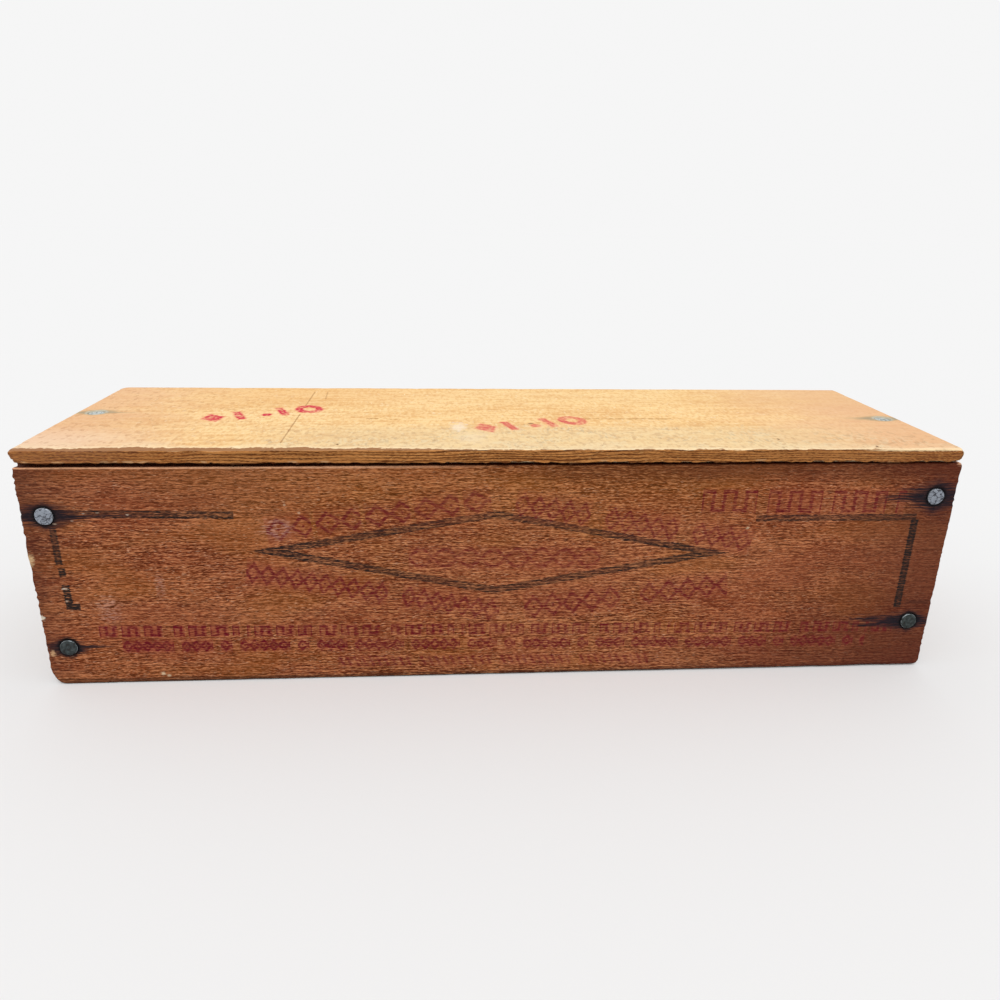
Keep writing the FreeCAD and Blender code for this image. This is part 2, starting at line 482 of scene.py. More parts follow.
class Timber:
    """The grain of one kind of wood as solid fields about its fibres' axis, alike through every face.

    ripple is the size in millimetres on x, y, z of the ripples that the saw and the weather left. The cross
    coordinates sway along the fibres, slowly and by short waves, so that ripples and fibres wander together,
    and faint even ribs, some ripples apart, run among them. Growth rings are circles about heart, the tree's
    middle in the two cross axes, pitch millimetres apart. hold is how well the wood keeps ink, least on the
    rubbed crests, and bleed how far ink has run along the fibres."""

    def __init__(self, tree, along, ripple, heart, pitch):
        self.tree = tree
        source = tree.nodes.new("ShaderNodeTexCoord").outputs["Object"]
        place = vector_work(tree, "SCALE", source)
        place.node.inputs["Scale"].default_value = 1 / MM
        self.place = place
        self.axes = self.split(place)

        def sized(lengthwise, crosswise):
            return [lengthwise if axis == along else crosswise for axis in range(3)]

        def lumps(lengthwise, crosswise):
            return [size * factor for size, factor in zip(ripple, sized(lengthwise, crosswise))]

        wander = min(1, pitch / 1.2)
        sway = (cloud(place, sized(17, 8)) - 0.5) * 1.7 + (cloud(place, sized(4.5, 3)) - 0.5) * 0.7
        sway = sway * wander
        aside = tree.nodes.new("ShaderNodeCombineXYZ")
        for axis in range(3):
            if axis != along:
                tree.links.new(sway.socket, aside.inputs[axis])
        swayed = vector_work(tree, "ADD", place, aside.outputs[0])
        finest = ripple.index(min(ripple))
        ribs = self.split(swayed)[finest] + cloud(place, sized(9, 1.5), 1) * 1.2
        ribs = ribs.wave(ripple[finest] * 4.3)
        self.ripple = (cloud(swayed, lumps(1, 1), 1, 0.5) - 0.5) * 0.8 + ribs * 0.085 + 0.5
        self.fibre = cloud(swayed, lumps(0.2, 0.7), 1, 0.5, 7)
        self.strand = cloud(swayed, sized(24, 1.5), 2, 0.5)
        self.streak = cloud(swayed, sized(22, 0.45), 1, 0.5, 5)
        self.fleck = cloud(swayed, lumps(0.2, 0.75), 1, 0.5, 31)
        self.speck = cloud(swayed, lumps(0.3, 0.8), 1, 0.5, 67)
        self.blotch = cloud(place, sized(42, 15), 2, 0.5)
        self.patch = cloud(place, sized(15, 6), 3, 0.55, 13)
        p, q = [field for axis, field in enumerate(self.split(swayed)) if axis != along]
        p, q = p - heart[0], q - heart[1]
        radius = (p * p + q * q).root() + cloud(place, sized(26, 4), 1) * 1.6
        radius = radius + cloud(swayed, sized(5, 0.8), 1) * (0.7 * wander)
        self.ring = (radius / pitch).repeat(1)
        rubbed = self.ripple.rise(0.46, 0.62) * 0.32 + self.fibre.rise(0.5, 0.62) * 0.38
        self.hold = (1 - rubbed) * (self.patch.rise(0.28, 0.5) * 0.25 + 0.75)
        self.bleed = (self.fibre - 0.5) * 0.45 + (self.ripple - 0.5) * 0.3

    def split(self, place):
        """The fields x, y and z of a place socket."""
        split = place.id_data.nodes.new("ShaderNodeSeparateXYZ")
        place.id_data.links.new(place, split.inputs[0])
        return [Field(out) for out in split.outputs]


RELIEF = 0.34 * MM


def wood_material(name, timber, tones, bare, strengths, marks=(), roughness=0.66, specular=0.08):
    """Aged sawn wood. timber is what Timber takes. tones are the faces', the inner face's and the long
    edges', each a middle, light, dark and fleck colour; bare is the worn arrises' colour. strengths are how
    much the strands, ripples, fibres, flecks, specks and rings show.

    marks are functions that lay print and stains over the finished colour, given the grain and the colour.
    None of them shows on the face that looks into the box."""
    material, tree, shader = new_material(name, roughness, specular)
    wood = Timber(tree, *timber)
    strands, ripples, fibres, flecks, specks, rings = strengths
    side, end_grain = attribute(tree, "edge"), attribute(tree, "end_grain")
    inward, edgeways = attribute(tree, "inner").rise(0.3, 0.7), side.rise(0.3, 0.7)
    middle, light, dark, flecked = [
        coat(paint(*face), [(inner, inward), (edge, edgeways)]) for face, inner, edge in zip(*tones)]
    line = wood.ring.rise(0.35, 0.9) * wood.ring.rise(1, 0.94)
    worn = attribute(tree, "wear") * (0.25 + wood.patch * 0.7 + wood.fibre * 0.6)
    colour = coat(middle, [
        (light, wood.blotch.rise(0.42, 0.62, 0.35)),
        (dark, wood.blotch.rise(0.5, 0.34, 0.25)),
        (dark, wood.strand.rise(0.5, 0.32, strands)),
        (light, wood.strand.rise(0.52, 0.7, strands)),
        (dark, wood.ripple.rise(0.5, 0.36, ripples)),
        (light, wood.ripple.rise(0.53, 0.66, ripples)),
        (dark, wood.fibre.rise(0.49, 0.36, fibres)),
        (light, wood.fibre.rise(0.53, 0.66, fibres)),
        (dark, line * (0.1 + side * 0.9) * wood.patch.rise(0.25, 0.5) * rings),
        (flecked, wood.fleck.rise(0.63, 0.75, flecks)),
        (dark, wood.speck.rise(0.62, 0.72, specks)),
        (dark, end_grain * wood.fibre.rise(0.56, 0.4, 0.6)),
        # bare wood on worn arrises and on the torn ends' crests, where it is partly a painted highlight
        (bare, worn.rise(0.45, 1.3, 0.6)),
    ])
    unmarked = colour
    for mark in marks:
        colour = mark(wood, colour)
    colour = lay(colour, unmarked, inward)
    tree.links.new(colour, shader.inputs["Base Color"])
    height = wood.ripple * 0.6 + wood.fibre * 0.4 - wood.speck.rise(0.62, 0.72, 0.25) - line * side * 0.2
    bump(tree, shader, height, RELIEF)
    return material


IRON_TONES = ((70, 40, 38), (26, 24, 32), (18, 16, 20))


def nail_stain(centre, reach, height, up, tones=IRON_TONES):
    """Mark of iron round a nail head, in streaks along the grain: brown at its rim and blue-black further in.

    centre is its place in x and the axis up, in metres, reach how far it runs to -x and +x, and height how
    far it goes up and down, in millimetres. The third tone is that of the wood right round the head."""

    def mark(wood, colour):
        u, v = wood.axes[0] - centre[0] / MM, wood.axes[up] - centre[1] / MM
        ring = (u * u + v * v).root()
        along = (u / reach[1]).most(u / -reach[0])
        away = along + abs(v / height) + (wood.streak - 0.5) * (along * 2.2 + 0.3) + (wood.ripple - 0.5) * 0.6
        shares = [
            away.rise(1.3, 0.7, 0.75),
            away.rise(1.0, 0.5) * (wood.hold * 0.5 + 0.5),
            (ring + (wood.fibre - 0.5) * 1.2).rise(3.2, 2.5, 0.85),
        ]
        return coat(colour, zip(tones, shares))

    return mark


END_TONES = (
    ((146, 90, 54), (180, 124, 82), (98, 56, 32), (204, 156, 112)),
    ((178, 130, 86), (200, 156, 112), (132, 88, 54), (220, 180, 138)),
    ((158, 104, 64), (186, 134, 92), (106, 64, 38), (210, 164, 120)))


def gap_painted_shade(wood, colour):
    """Painted shade in the gap under the lid, at the front end of the end boards' top edges."""
    y, z = wood.axes[1:]
    return coat(colour, [((78, 38, 24), z.rise(56.8, 57.6) * y.rise(-28.6, -29.8, 0.9))])


# The end boards carry painted shade at the front of their top edges, in the gap under the lid.
end_wood = wood_material(
    "end_board_wood", (1, (0.5, 6.0, 0.35), (60, -40), 1.9), END_TONES, (206, 160, 118),
    strengths=(0.35, 0.6, 0.5, 0.4, 0.4, 0.6), marks=[gap_painted_shade])
for side in ("left", "right"):
    board_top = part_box(side + "_end_board")[1][2]
    nail_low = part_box("lid_" + side + "_nail")[0]
    (hole_place,), _ = nail_places("lid_" + side + "_nail", 2)
    hole = (2, 1, hole_place, HOLE_RADIUS, board_top - nail_low[2] + HOLE_ROOM)
    seed, inside = (31, 1) if side == "left" else (47, -1)
    end_board = sawn_board(
        "end_board_" + side, "box", side + "_end_board", grain=1, thick=0, steps=(0.8, 0.7, 0.7),
        wear=(0.3, 0.5), ends=(0.1, 0.1), seed=seed, inside=inside, seats=[hole])
    end_board.data.materials.append(end_wood)

# Bottom board: a thin sawn board that fills the space between the panels, under the end boards.
# Two nails at each end hold it, driven up into the end boards with their heads sunk level.
BOTTOM_NAILS = ("bottom_left_nails", "bottom_right_nails")
BOTTOM_TONES = (
    ((138, 86, 50), (170, 116, 76), (88, 50, 30), (196, 146, 102)),
    ((178, 130, 86), (200, 156, 112), (130, 86, 52), (218, 178, 136)),
    ((146, 94, 56), (176, 124, 82), (96, 56, 34), (204, 156, 112)))
bottom_stains = [
    nail_stain(place, (9, 9), 3.2, up=1) for node in BOTTOM_NAILS for place in nail_places(node, 2)[0]]
bottom_wood = wood_material(
    "bottom_board_wood", (0, (6.0, 0.35, 0.5), (10, -50), 2.2), BOTTOM_TONES, (200, 154, 112),
    strengths=(0.4, 0.6, 0.5, 0.4, 0.4, 0.6), marks=bottom_stains)
bottom = sawn_board(
    "bottom", "box", "bottom_board", grain=0, thick=2, steps=(1.1, 0.8, 0.5), wear=(0.3, 0.5),
    ends=(0.4, 0.3), seed=59, inside=1, seats=head_seats(BOTTOM_NAILS, 2, -1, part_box("bottom_board")[0][2]))
bottom.data.materials.append(bottom_wood)

# Front and back panels: thin reddish-brown boards, coarsely sawn, nailed over the edges of the end boards.
# Their ends are torn in bites by the saw, and iron from the nails has stained the wood blue-black.
# The front is printed in black, a long diamond between two corner lines, and in a faded crimson.
PANEL_TONES = (
    ((146, 72, 37), (208, 135, 91), (78, 30, 6), (230, 174, 138)),
    ((190, 142, 96), (212, 168, 124), (140, 96, 60), (226, 188, 146)),
    ((150, 92, 58), (188, 134, 98), (96, 52, 30), (208, 160, 124)))
PANEL_TIMBER = (0, (6.0, 0.5, 0.21), (60, 30), 1.6)
PANEL_STRENGTHS = (0.25, 0.8, 0.85, 0.85, 0.3, 0.4)
PANEL_BARE = (178, 124, 90)
FRONT = (0, 2)
BLACK_INK = (38, 30, 28)
CRIMSON_INK = (104, 18, 30)
DIAMOND_CENTRE = (-2.5, 35.35)
DIAMOND_REACH = (54.9, 10.1)
DIAMOND_DROP = 0.45
DIAMOND_BEND = 0.7
PRINT_SLOPE = -0.015
FAR_AWAY = 9


def straight_row(wood, plane, start, end):
    """Distances along and across a straight row from start to end, in a plane of two axes, and its length."""
    length = math.dist(start, end)
    right, up = ((to - at) / length for at, to in zip(start, end))
    x, z = wood.axes[plane[0]] - start[0], wood.axes[plane[1]] - start[1]
    return x * right + z * up, z * right - x * up, length


def inked(wood, colour, ink, away, half_width, share, soft=0.22, thin=0.25):
    """The colour with ink where the distance away is under half_width, bled a little along the fibres.

    It is rubbed off the crests of the ripples, which show through as fine lines. soft is half the width of
    a stroke's rim, and thin how much thinner it is along the middle, where the stamp squeezed it out."""
    cover = (away + wood.bleed).rise(half_width + soft, half_width - soft) * wood.hold
    body = away.rise(half_width * 0.1, half_width * 0.8, thin) + (1 - thin)
    return lay(colour, paint(*ink), cover * body * share)


def lozenge_chain(s, t, height, pitch):
    """Distance to a chain of lozenge outlines with a dot in each.

    An outline is where the distances from the lozenge's middle, each over its half size, add up to 1."""
    u, v = abs(s.repeat(pitch) - pitch / 2), abs(t)
    slope = math.hypot(2.2 / pitch, 2 / height)
    outline = abs(u * (2.2 / pitch) + v * (2 / height) - 1) / slope
    return outline.least(u * 1.2 + v)


def hatching(s, t, height, pitch):
    """Distance to a row of short slanting bars."""
    return abs((s + t * 0.45).repeat(pitch) - pitch / 2).most(abs(t) - height / 2 + 0.4)


def meander(s, t, height, pitch):
    """Distance to a square wave: a bar at each half pitch, joined at the top and at the bottom in turn."""
    bar = abs((s + pitch / 4).repeat(pitch / 2) - pitch / 4)
    turned = s.repeat(pitch).within(pitch / 2, pitch, 0.01) * 2 - 1
    return bar.least(abs(t * turned + height / 2)).most(abs(t) - height / 2)


def twin_waves(s, t, height, pitch):
    """Distance to two sine waves that cross each other."""
    wave = s.wave(pitch) * (height / 2)
    return abs(t - wave).least(abs(t + wave)) * 0.75


def printed_row(motif, start, end, height, pitch, gaps, half_width, share):
    """Mark of one crimson row of a motif; gaps are (period, width) pairs that break it into short groups.

    The ink has run into the wood as a faint blush, and it is the strongest at the left."""

    def mark(wood, colour):
        s, t, length = straight_row(wood, FRONT, start, end)
        shown = s.within(0, length)
        for period, width in gaps:
            shown = shown * s.repeat(period).rise(period - width, period - width - 0.1)
        away = motif(s, t, height, pitch) + (1 - shown) * FAR_AWAY
        blush = wood.axes[0].rise(-30, -90, 0.3) + 0.17
        colour = coat(colour, [((150, 62, 50), abs(t).rise(height, height * 0.4) * shown * blush)])
        fade = wood.axes[0].rise(10, -60, 0.2) + (share - 0.03)
        return inked(wood, colour, CRIMSON_INK, away, half_width, fade, thin=0)

    return mark


def black_line(start, end, half_width, share):
    """Mark of one straight black line."""

    def mark(wood, colour):
        s, t, length = straight_row(wood, FRONT, start, end)
        away = abs(t) + (1 - s.within(0, length)) * FAR_AWAY
        return inked(wood, colour, BLACK_INK, away, half_width, share)

    return mark


def diamond(wood, colour):
    """The long black diamond: half-sizes add up to 1 as in a lozenge, its long way bent round at the middle.

    The ink is the strongest toward its two ends."""
    centre = DIAMOND_CENTRE
    u, w, _ = straight_row(wood, FRONT, centre, (centre[0] + 1, centre[1] + PRINT_SLOPE))
    bent = (u * u + DIAMOND_BEND**2).root()
    upright = (w / DIAMOND_REACH[1]).most(w / -(DIAMOND_REACH[1] + DIAMOND_DROP))
    away = abs(bent / DIAMOND_REACH[0] + upright - 1) * DIAMOND_REACH[1]
    return inked(wood, colour, BLACK_INK, away, 0.92, share=abs(u).rise(20, 50, 0.22) + 0.94)


def spot(plane, centre, reach, tone, share):
    """Mark of one small stain, chip or smear, an ellipse with a ragged edge, in a plane of two axes."""

    def mark(wood, colour):
        u, v = [(wood.axes[axis] - at) / size for axis, at, size in zip(plane, centre, reach)]
        away = (u * u + v * v).root() + (wood.fibre - 0.5) * 2.2 + (wood.ripple - 0.5) * 1.4
        return coat(colour, [(tone, away.rise(1.2, 0.5, share))])

    return mark


def scuff(centre, reach, share):
    """Mark of a rubbed place on the front, where only the crests of the grain have gone pale."""

    def mark(wood, colour):
        u, v = [(wood.axes[axis] - at) / size for axis, at, size in zip(FRONT, centre, reach)]
        away = (u * u + v * v).root() + (wood.streak - 0.5) * 1.4
        return coat(colour, [((206, 168, 158), away.rise(1.3, 0.4, share) * wood.fibre.rise(0.48, 0.6))])

    return mark


def front_age_and_painted_shade(wood, colour):
    """The front's colouring and its painted light and shade, in the order of its layers.

    Crimson-brown and golden patches, painted shade along the foot, a golden upper middle, a dark right and
    left end, painted shadow of the lid over the upper right, and a painted highlight along the upper arris at
    the left. The grain shows more in the middle, and the upper edge is painted in shade where it lies in the
    gap under the lid."""
    x, y, z = wood.axes
    ruddy = cloud(wood.place, (26, 9, 9), 1, 0.5, 41)
    far = x - z * 0.6 + (wood.patch - 0.5) * 30
    near = x + wood.patch * 14 - z * 0.1
    middle, mixed = abs(x).rise(65, 35), wood.fibre * 0.6 + wood.ripple * 0.4
    return coat(colour, [
        ((144, 66, 42), ruddy.rise(0.46, 0.7, 0.25)),
        ((160, 94, 38), ruddy.rise(0.52, 0.3, 0.3)),
        # painted shade along the foot, where the panel meets the floor
        ((66, 38, 24), (z + wood.ripple * 1.6).rise(3.0, 1.2, 0.8)),
        ((170, 112, 20), z.rise(36, 54) * abs(x + 5).rise(95, 45, 0.16)),
        ((88, 40, 28), far.rise(46, 98, 0.68)),
        ((84, 44, 34), near.rise(-98, -116, 0.7)),
        ((98, 50, 34), z.rise(40, 54) * x.rise(-30, -70, 0.2)),
        # painted shadow of the lid over the upper right
        ((90, 44, 26), (z + wood.patch * 4).rise(53.5, 58.5, 0.6) * x.rise(-25, 30)),
        ((88, 36, 28), x.rise(20, 60) * z.rise(12, 5, 0.28)),
        ((82, 34, 24), x.rise(92, 112, 0.32)),
        ((188, 116, 74), abs(z - 31).rise(14, 6) * x.rise(-50, -20, 0.08)),
        # painted highlight along the upper arris at the left
        ((236, 176, 134), z.rise(57.15, 57.45) * x.rise(6, -45, 0.95)),
        ((222, 156, 100), mixed.rise(0.52, 0.62, 0.26) * middle),
        ((70, 26, 4), mixed.rise(0.48, 0.39, 0.26) * middle),
        # painted shade on the upper edge, in the gap under the lid
        ((88, 36, 20), z.rise(57.5, 57.7) * y.rise(-33.95, -33.75, 0.95)),
    ])


# Small chips, smears and specks, and the painted shade of a crack: place, reach, tone and share
FRONT_SPOTS = [
    ((-113.9, 34.6), (1.0, 1.5), (218, 182, 138), 0.85),
    ((-113.9, 19.0), (0.7, 0.6), (238, 226, 204), 0.9),
    ((-113.0, 9.0), (0.7, 0.8), (210, 166, 124), 0.85),
    ((-86.9, 2.5), (0.75, 0.4), (222, 198, 164), 0.9),
    ((-85.5, 2.0), (0.6, 0.35), (222, 198, 164), 0.85),
    ((-107.1, 26.8), (0.7, 0.25), (226, 206, 186), 0.8),
    ((-107.2, 23.4), (0.4, 0.25), (196, 170, 150), 0.7),
    # painted shade in a crack near the right end
    ((110.8, 19.5), (4.4, 0.7), (58, 30, 24), 0.55),
    ((-49.9, 46.1), (0.4, 0.35), (214, 180, 150), 0.7),
    ((-53.2, 48.2), (0.35, 0.3), (208, 172, 142), 0.7),
    ((61.1, 41.2), (0.45, 0.35), (222, 196, 160), 0.8),
    ((-99.8, 46.3), (0.35, 0.2), (184, 166, 150), 0.8),
    ((-96.6, 46.5), (0.5, 0.16), (170, 144, 124), 0.7),
    ((-89.8, 45.9), (0.4, 0.25), (188, 164, 144), 0.8),
    ((-102.6, 44.5), (0.4, 0.2), (176, 152, 134), 0.6),
    ((-106.6, 43.8), (0.6, 0.2), (186, 160, 138), 0.75),
    ((113.4, 58.1), (0.8, 0.7), (222, 170, 134), 0.7),
]
# Black lines have their start, end, half width and share, and crimson rows their motif, start, end, height,
# pitch, gaps, half width and share
FRONT_PRINT = [
    front_age_and_painted_shade,
    diamond,
    black_line((-107.0, 46.3), (-65.3, 45.7), 0.95, 1.05),
    black_line((-107.4, 42.8), (-107.4, 33.2), 0.82, 1.3),
    black_line((-107.1, 32.3), (-107.0, 30.0), 0.82, 1.3),
    black_line((-106.9, 27.9), (-106.7, 22.8), 0.9, 1.5),
    black_line((-107.6, 22.2), (-104.2, 21.9), 0.9, 1.6),
    black_line((62.9, 43.75), (104.9, 43.85), 0.88, 1.0),
    black_line((104.6, 43.2), (104.7, 18.1), 0.95, 1.4),
    printed_row(lozenge_chain, (-58.0, 41.4), (-3.8, 49.2), 5.0, 6.0, [(12.0, 1.0)], 0.42, 0.7),
    printed_row(lozenge_chain, (2.2, 48.2), (62.5, 37.2), 5.2, 3.8, [(22.8, 3.8)], 0.36, 0.75),
    printed_row(lozenge_chain, (-63.7, 30.8), (-1.3, 18.8), 4.8, 3.5, [(38.5, 3.5)], 0.38, 0.75),
    printed_row(lozenge_chain, (5.1, 19.7), (57.7, 25.5), 5.5, 5.0, [(30.0, 5.0)], 0.42, 0.85),
    printed_row(meander, (48.6, 48.5), (101.1, 47.9), 5.0, 5.6, [(16.8, 2.8)], 0.44, 0.9),
    printed_row(twin_waves, (-24.0, 34.0), (24.0, 33.4), 4.6, 12.0, [], 0.4, 0.6),
    printed_row(meander, (-100.9, 14.9), (104.7, 12.4), 2.3, 3.6, [(18.0, 1.8), (5.4, 0.9)], 0.36, 0.88),
    printed_row(lozenge_chain, (-95.8, 10.6), (97.5, 8.3), 2.5, 2.4, [(24.0, 1.8), (14.4, 1.8)], 0.34, 0.88),
    printed_row(hatching, (-42.7, 5.1), (40.7, 4.1), 2.6, 1.9, [(20.9, 2.0)], 0.36, 0.7),
]
# Iron stains, lower nail first: the reach to the left and to the right, and the height
FRONT_STAINS = {
    "front_left_nails": [((8.5, 6.8), 3.0), ((9.0, 11.0), 3.8)],
    "front_right_nails": [((14.0, 7.5), 3.3), ((11.5, 12.5), 5.0)],
}


def panel_stains(reaches):
    """Marks of all nails of one panel, from the reach and the height of each, low nail first."""
    return [
        nail_stain(place, reach, height, up=2)
        for node, sizes in reaches.items()
        for place, (reach, height) in zip(nail_places(node, 1)[0], sizes)
    ]


front_marks = FRONT_PRINT + panel_stains(FRONT_STAINS) + [spot(FRONT, *values) for values in FRONT_SPOTS]
front_marks += [
    scuff((-97.4, 20.9), (3.0, 4.5), 0.35),
    scuff((-55.4, 42.2), (4.0, 3.0), 0.4),
    scuff((-84.6, 27.0), (1.2, 3.6), 0.4),
]
front_wood = wood_material(
    "front_panel_wood", PANEL_TIMBER, PANEL_TONES, PANEL_BARE, PANEL_STRENGTHS, front_marks)
front = sawn_board(
    "front", "box", "front_panel", grain=0, thick=1, steps=(1.5, 0.28, 0.4), wear=(0.3, 0.5), ends=(0.5, 0.3),
    seed=71, inside=1, seats=head_seats(FRONT_STAINS, 1, -1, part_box("front_panel")[0][1]),
    corners=[((-1, -1), (3.2, 5.4)), ((1, -1), (0.8, 1.5)), ((-1, 1), (1.1, 1.4)), ((1, 1), (1.0, 1.0))],
    pulls=((0, 0), (0.1, 0.2), (0.1, 0.5), (0, -0.45)))
front.data.materials.append(front_wood)

BACK_STAINS = {
    "back_left_nails": [((9.0, 11.0), 3.0), ((8.5, 15.0), 3.6)],
    "back_right_nails": [((12.0, 8.0), 3.0), ((16.0, 8.0), 3.7)],
}
back_wood = wood_material(
    "back_panel_wood", PANEL_TIMBER, PANEL_TONES, PANEL_BARE, PANEL_STRENGTHS, panel_stains(BACK_STAINS))
back = sawn_board(
    "back", "box", "back_panel", grain=0, thick=1, steps=(1.5, 0.3, 0.4), wear=(0.3, 0.6), ends=(0.5, 0.4),
    seed=83, inside=-1, seats=head_seats(BACK_STAINS, 1, 1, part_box("back_panel")[1][1]),
    corners=[((-1, -1), (1.2, 1.6)), ((1, -1), (1.5, 1.5)), ((-1, 1), (1.0, 1.0)), ((1, 1), (1.0, 1.0))])
back.data.materials.append(back_wood)

# Box nails: drawn steel wire with a flat head, a few grip rings under it and a point cut square.
# Hammered in by hand, so that the heads are dented and sit a little askew; the upper ones of the front are
# rubbed bright, and the lower ones are still dark with oxide.
SHANK_RADIUS = 0.8 * MM
POINT_LENGTH = 2.4 * MM
TIP_RADIUS = 0.2 * MM
RIM_RADIUS = 0.25 * MM
SECTORS = 48
SHANK_RINGS = 60
HEAD_DENTS, HEAD_TILT, HEAD_DOME = 0.09 * MM, 0.1 * MM, 0.05 * MM
DENT_SIZE = 1.1 * MM
GRIP_START, GRIP_END, GRIP_STEP = 1.4 * MM, 5.2 * MM, 0.26 * MM


def nail_profile(head_radius, length):
    """Radii and depths of a nail's outline from the middle of its head to its point, as two arrays.

    A flat head with a quarter round rim, a straight shank, and a taper over the last stretch."""
    bend = np.linspace(0, np.pi / 2, 6)
    crown = np.array([0.01, 0.12, 0.25, 0.38, 0.52, 0.66, 0.78]) * head_radius
    rim = head_radius - RIM_RADIUS * (1 - np.sin(bend))
    shank_end = length - POINT_LENGTH
    shank = np.linspace(HEAD_THICKNESS + 0.25 * MM, shank_end, SHANK_RINGS)
    point = np.linspace(0, 1, 9)[1:]
    parts = [
        (crown, 0 * crown),
        (rim, RIM_RADIUS * (1 - np.cos(bend))),
        ([head_radius, SHANK_RADIUS + 0.2 * MM], [HEAD_THICKNESS] * 2),
        (np.full(SHANK_RINGS, SHANK_RADIUS), shank),
        (SHANK_RADIUS + (TIP_RADIUS - SHANK_RADIUS) * point, shank_end + POINT_LENGTH * point),
    ]
    radii, depths = (np.concatenate(column) for column in zip(*parts))
    return radii, depths


def driven_nails(name, body, node, axis, side, steel, tarnish, seed):
    """The nails of one CAD node as one piece: their outline turned about the axis, closed at both ends.

    side is the way their heads face. The head's top goes down by a low dome, dents and a slight tilt, its rim
    wavers, grip rings cut the shank under it, and the point's section grows square."""
    low, high = (np.array(corner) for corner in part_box(node))
    centres, head_radius = nail_places(node, axis)
    first, second = [a for a in range(3) if a != axis]
    profile, depths = nail_profile(head_radius, high[axis] - low[axis])
    turn = np.linspace(0, 2 * np.pi, SECTORS, endpoint=False)
    radius, angle = np.meshgrid(profile, turn, indexing="ij")
    depth = np.meshgrid(depths, turn, indexing="ij")[0]
    all_points, faces, rims, darks = [], [], [], []
    for number, centre in enumerate(centres):
        chance = np.random.default_rng(seed + number)
        u, v = radius * np.cos(angle), radius * np.sin(angle)
        head = depth < HEAD_THICKNESS + 0.01 * MM
        waver = 1 - 0.035 * (1 + value_noise(angle * 1.3 + 20, 0 * angle, seed + number))
        reach = np.where(head, np.where(radius > 0.5 * head_radius, waver, 1), 1)
        grip = (depth > GRIP_START) & (depth < GRIP_END)
        reach = np.where(grip, 1 - 0.05 * (1 + np.sin(depth / GRIP_STEP)), reach)
        square = 0.8 / np.maximum(np.abs(np.cos(angle)), np.abs(np.sin(angle)))
        taper = np.clip((depth - depths[-1] + POINT_LENGTH) / (0.6 * MM), 0, 1)
        reach = reach * (1 + taper * (np.minimum(square, 1) - 1))
        dents = 0.5 + 0.5 * layered_noise(u / DENT_SIZE + 9, v / DENT_SIZE + 9, seed + 40 + number)
        lean = chance.uniform(0, 2 * np.pi)
        tilt = 0.5 + 0.5 * (u * np.cos(lean) + v * np.sin(lean)) / head_radius
        top = head & (depth < 0.5 * MM)
        sunk = HEAD_DENTS * dents + HEAD_TILT * tilt + HEAD_DOME * (radius / head_radius) ** 2
        points = np.zeros(radius.shape + (3,))
        points[..., first] = centre[0] + u * reach
        points[..., second] = centre[1] + v * reach
        points[..., axis] = (low, high)[side > 0][axis] - side * (depth + np.where(top, sunk, 0))
        start = number * radius.size
        index = start + np.arange(radius.size).reshape(radius.shape)
        beside = np.roll(index, -1, axis=1)
        quads = np.stack([index[:-1], beside[:-1], beside[1:], index[1:]], axis=-1).reshape(-1, 4)
        rings = [*quads.tolist(), index[0][::-1].tolist(), index[-1].tolist()]
        flat = points.reshape(-1, 3)
        corner = flat[quads - start] - flat.mean(axis=0)
        volume = np.einsum("ij,ij->i", np.cross(corner[:, 0], corner[:, 1]), corner[:, 2]).sum()
        faces += [face[::-1] for face in rings] if volume < 0 else rings
        all_points.append(flat)
        rims.append(np.where(top, np.clip(radius / head_radius, 0, 1) ** 6, 0).ravel())
        darks.append(np.full(radius.size, tarnish[number]))
    attributes = {"rim": np.concatenate(rims), "tarnish": np.concatenate(darks)}
    piece = mesh_piece(name, np.concatenate(all_points), faces, attributes)
    piece.data.materials.append(steel)
    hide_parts(node)
    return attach(piece, body)


def steel_material(name, bright, dull):
    """Dull grey wire steel, rubbed bright or dark with oxide by the mesh's tarnish, brightest at its rim.

    Dark hairlines wander over the heads where a cloud passes through its middle value."""
    material, tree, shader = new_material(name, 0.5, 0.5, metallic=0.7)
    source = tree.nodes.new("ShaderNodeTexCoord").outputs["Object"]
    place = vector_work(tree, "SCALE", source)
    place.node.inputs["Scale"].default_value = 1 / MM
    dark, rim = attribute(tree, "tarnish"), attribute(tree, "rim")
    mottle = cloud(place, [0.8] * 3, 4, 0.6)
    lines = abs(cloud(place, [1.7] * 3, 1, 0.5, 9) - 0.5).rise(0.035, 0.008)
    oxide = coat(paint(46, 53, 52), [
        ((72, 79, 78), mottle.rise(0.5, 0.66, 0.8)),
        ((38, 30, 26), mottle.rise(0.44, 0.34, 0.8)),
    ])
    colour = coat(paint(*bright), [
        (dull, mottle.rise(0.52, 0.38, 0.9)),
        ((50, 50, 58), lines * 0.95),
        (oxide, dark),
        ((168, 176, 180), rim.rise(0.55, 0.95) * mottle.rise(0.4, 0.55, 0.7)),
    ])
    tree.links.new(colour, shader.inputs["Base Color"])
    tree.links.new((mottle.rise(0.7, 0.3, 0.25) + 0.4).socket, shader.inputs["Roughness"])
    bump(tree, shader, mottle - lines * 0.4, 0.05 * MM)
    return material


nail_steel = steel_material("nail_steel", (146, 152, 162), (104, 108, 116))
for node, axis, side, tarnish, seed in (
    ("front_left_nails", 1, -1, (0.95, 0.0), 101),
    ("front_right_nails", 1, -1, (1.0, 0.05), 111),
    ("back_left_nails", 1, 1, (0.7, 0.4), 121),
    ("back_right_nails", 1, 1, (0.9, 0.6), 131),
    ("bottom_left_nails", 2, -1, (0.8, 0.6), 141),
    ("bottom_right_nails", 2, -1, (0.7, 0.9), 151),
):
    panel, end, _ = node.split("_")
    driven_nails("nails_" + panel + "_" + end, "box", node, axis, side, nail_steel, tarnish, seed)
